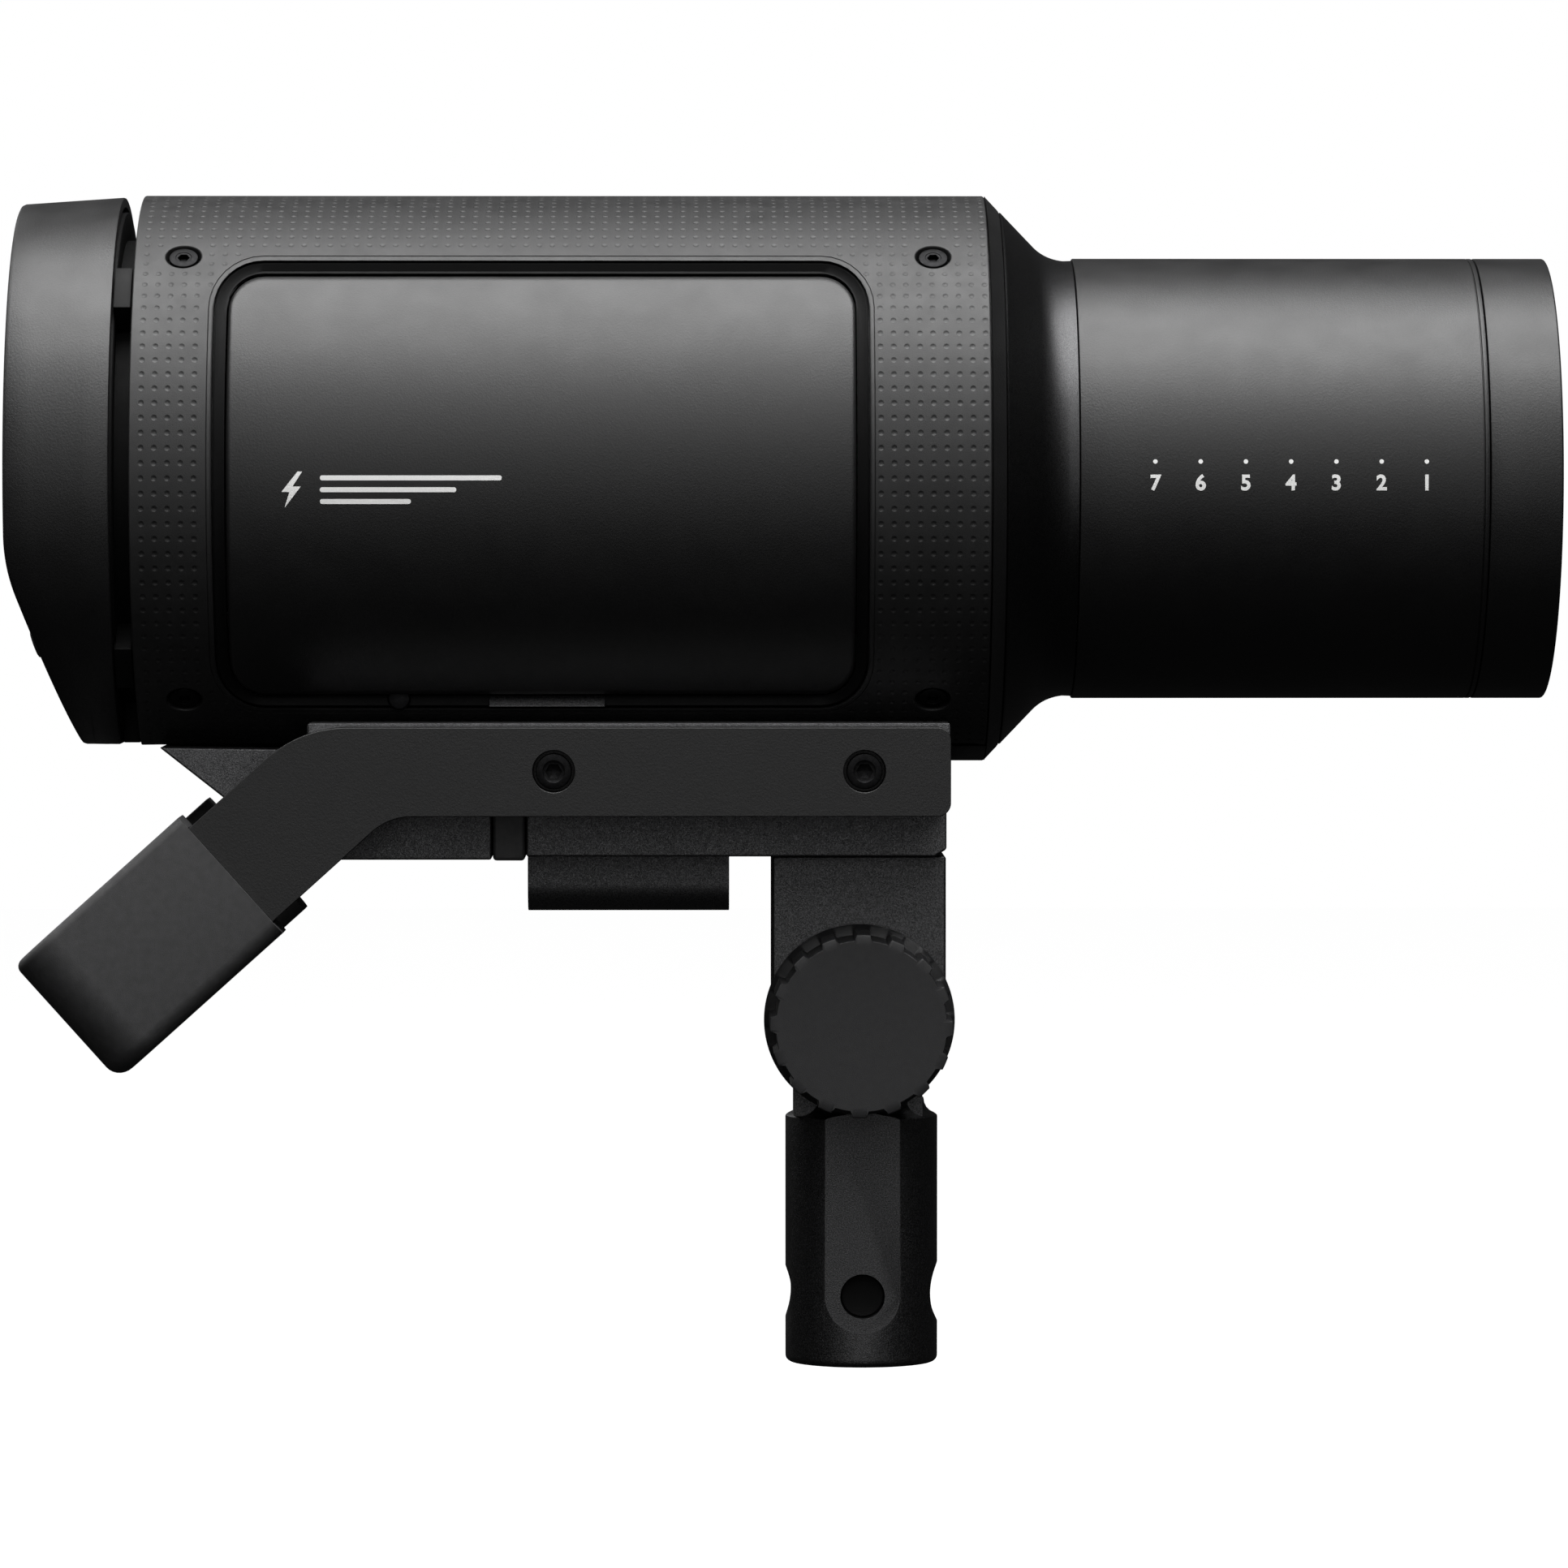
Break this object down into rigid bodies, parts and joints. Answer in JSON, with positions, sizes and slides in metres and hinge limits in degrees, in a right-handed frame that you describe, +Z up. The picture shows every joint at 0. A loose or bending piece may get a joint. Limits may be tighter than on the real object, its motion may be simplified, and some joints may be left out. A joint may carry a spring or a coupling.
{
  "type": "monolight strobe",
  "caption": "Battery monolight flash head with a round dimpled body, straight front barrel, U-shaped rear handle and a tilting stand bracket.",
  "frame": {"origin": "centre of the stand socket's mouth, at the bottom of the stand bracket", "axes": "+X the way the light points, along the body; +Y across the body; +Z up along the stand socket"},
  "size_m": [0.3455, 0.1284, 0.2657],
  "materials": {
    "rubber": "matt black moulded rubber, with rows of small round dimples on the body cover",
    "grained_plastic": "black plastic with a fine leather-like grain",
    "gloss_plastic": "smooth black plastic",
    "black_casting": "black sand-textured aluminium casting",
    "black_steel": "blackened steel",
    "nylon": "white nylon",
    "circuit_board": "green circuit board",
    "capacitor_sleeve": "dark blue shrink sleeve",
    "cell_wrap": "blue cell wrap",
    "quartz": "clear quartz",
    "frosted_glass": "frosted glass",
    "display": "dark display window",
    "aluminium": "polished reflector",
    "led": "yellow LED phosphor"
  },
  "bodies": {
    "stand_bracket": {"stand_socket": "black_casting", "friction_washer_near": "nylon", "friction_washer_far": "nylon"},
    "head": {"grip_cover": "rubber", "handle_grip": "rubber", "handle_arm_left": "grained_plastic", "handle_arm_right": "grained_plastic", "far_side_panel": "grained_plastic", "barrel": "grained_plastic", "barrel_trim_ring": "grained_plastic", "rear_hood": "grained_plastic", "rear_panel": "grained_plastic", "body_shell": "grained_plastic", "rear_drum": "grained_plastic", "rail_stop": "grained_plastic", "front_housing": "gloss_plastic", "fan_frame": "gloss_plastic", "battery_connector": "gloss_plastic", "yoke": "black_casting", "mounting_rail": "black_casting", "umbrella_holder": "black_casting", "base_casting": "black_casting", "tilt_bolt": "black_steel", "arm_screw_1": "black_steel", "arm_screw_2": "black_steel", "arm_screw_3": "black_steel", "arm_screw_4": "black_steel", "cover_screw_1": "black_steel", "cover_screw_2": "black_steel", "cover_screw_3": "black_steel", "cover_screw_4": "black_steel", "cover_screw_5": "black_steel", "cover_screw_6": "black_steel", "cover_screw_7": "black_steel", "cover_screw_8": "black_steel", "lamp_base": "nylon", "power_board": "circuit_board", "control_board": "circuit_board", "capacitor_1": "capacitor_sleeve", "capacitor_2": "capacitor_sleeve", "flash_tube": "quartz", "front_glass": "frosted_glass", "display_glass": "display", "reflector": "aluminium", "modelling_light": "led"},
    "stand_lock_knob": {"stand_lock_knob": "gloss_plastic"},
    "tilt_knob": {"tilt_knob": "gloss_plastic"},
    "umbrella_clamp_screw": {"umbrella_clamp_screw": "black_steel"},
    "battery": {"battery_face": "grained_plastic", "battery_case": "grained_plastic", "battery_cell_1": "cell_wrap", "battery_cell_2": "cell_wrap", "battery_cell_3": "cell_wrap", "battery_cell_4": "cell_wrap"},
    "battery_latch": {"battery_latch": "black_steel"},
    "control_dial": {"control_dial": "gloss_plastic"},
    "menu_button": {"menu_button": "gloss_plastic"},
    "test_button": {"test_button": "gloss_plastic"},
    "power_button": {"power_button": "gloss_plastic"},
    "fan_rotor": {"fan_rotor": "gloss_plastic"}
  },
  "joints": [
    {"name": "head_tilt", "type": "hinge", "parent": "stand_bracket", "child": "head", "pos_m": [-0.0009, 0, 0.0795], "axis": [0, 1, 0], "range_deg": [-70, 90]},
    {"name": "stand_lock_turn", "type": "hinge", "parent": "stand_bracket", "child": "stand_lock_knob", "pos_m": [0, 0.018, 0.0161], "axis": [0, 1, 0], "range_deg": [0, 270]},
    {"name": "tilt_knob_turn", "type": "hinge", "parent": "head", "child": "tilt_knob", "pos_m": [-0.0009, -0.0206, 0.0795], "axis": [0, -1, 0], "range_deg": [0, 270]},
    {"name": "umbrella_clamp_turn", "type": "hinge", "parent": "head", "child": "umbrella_clamp_screw", "pos_m": [-0.053, 0.0105, 0.1099], "axis": [0, 1, 0], "range_deg": [0, 270]},
    {"name": "battery_slide", "type": "slide", "parent": "head", "child": "battery", "axis": [0, -1, 0], "range_m": [0, 0.06]},
    {"name": "battery_latch_slide", "type": "slide", "parent": "head", "child": "battery_latch", "axis": [-1, 0, 0], "range_m": [0, 0.006], "stiffness_N_per_m": 200},
    {"name": "control_dial_turn", "type": "hinge", "parent": "head", "child": "control_dial", "pos_m": [-0.185, 0, 0.1955], "axis": [-1, 0, 0], "continuous": true},
    {"name": "menu_button_press", "type": "slide", "parent": "head", "child": "menu_button", "axis": [1, 0, 0], "range_m": [0, 0.0015], "stiffness_N_per_m": 600},
    {"name": "test_button_press", "type": "slide", "parent": "head", "child": "test_button", "axis": [1, 0, 0], "range_m": [0, 0.0015], "stiffness_N_per_m": 600},
    {"name": "power_button_press", "type": "slide", "parent": "head", "child": "power_button", "axis": [0.9401, 0, 0.3408], "range_m": [0, 0.002], "stiffness_N_per_m": 600},
    {"name": "fan_spin", "type": "hinge", "parent": "head", "child": "fan_rotor", "pos_m": [-0.155, 0, 0.2015], "axis": [1, 0, 0], "continuous": true}
  ]
}
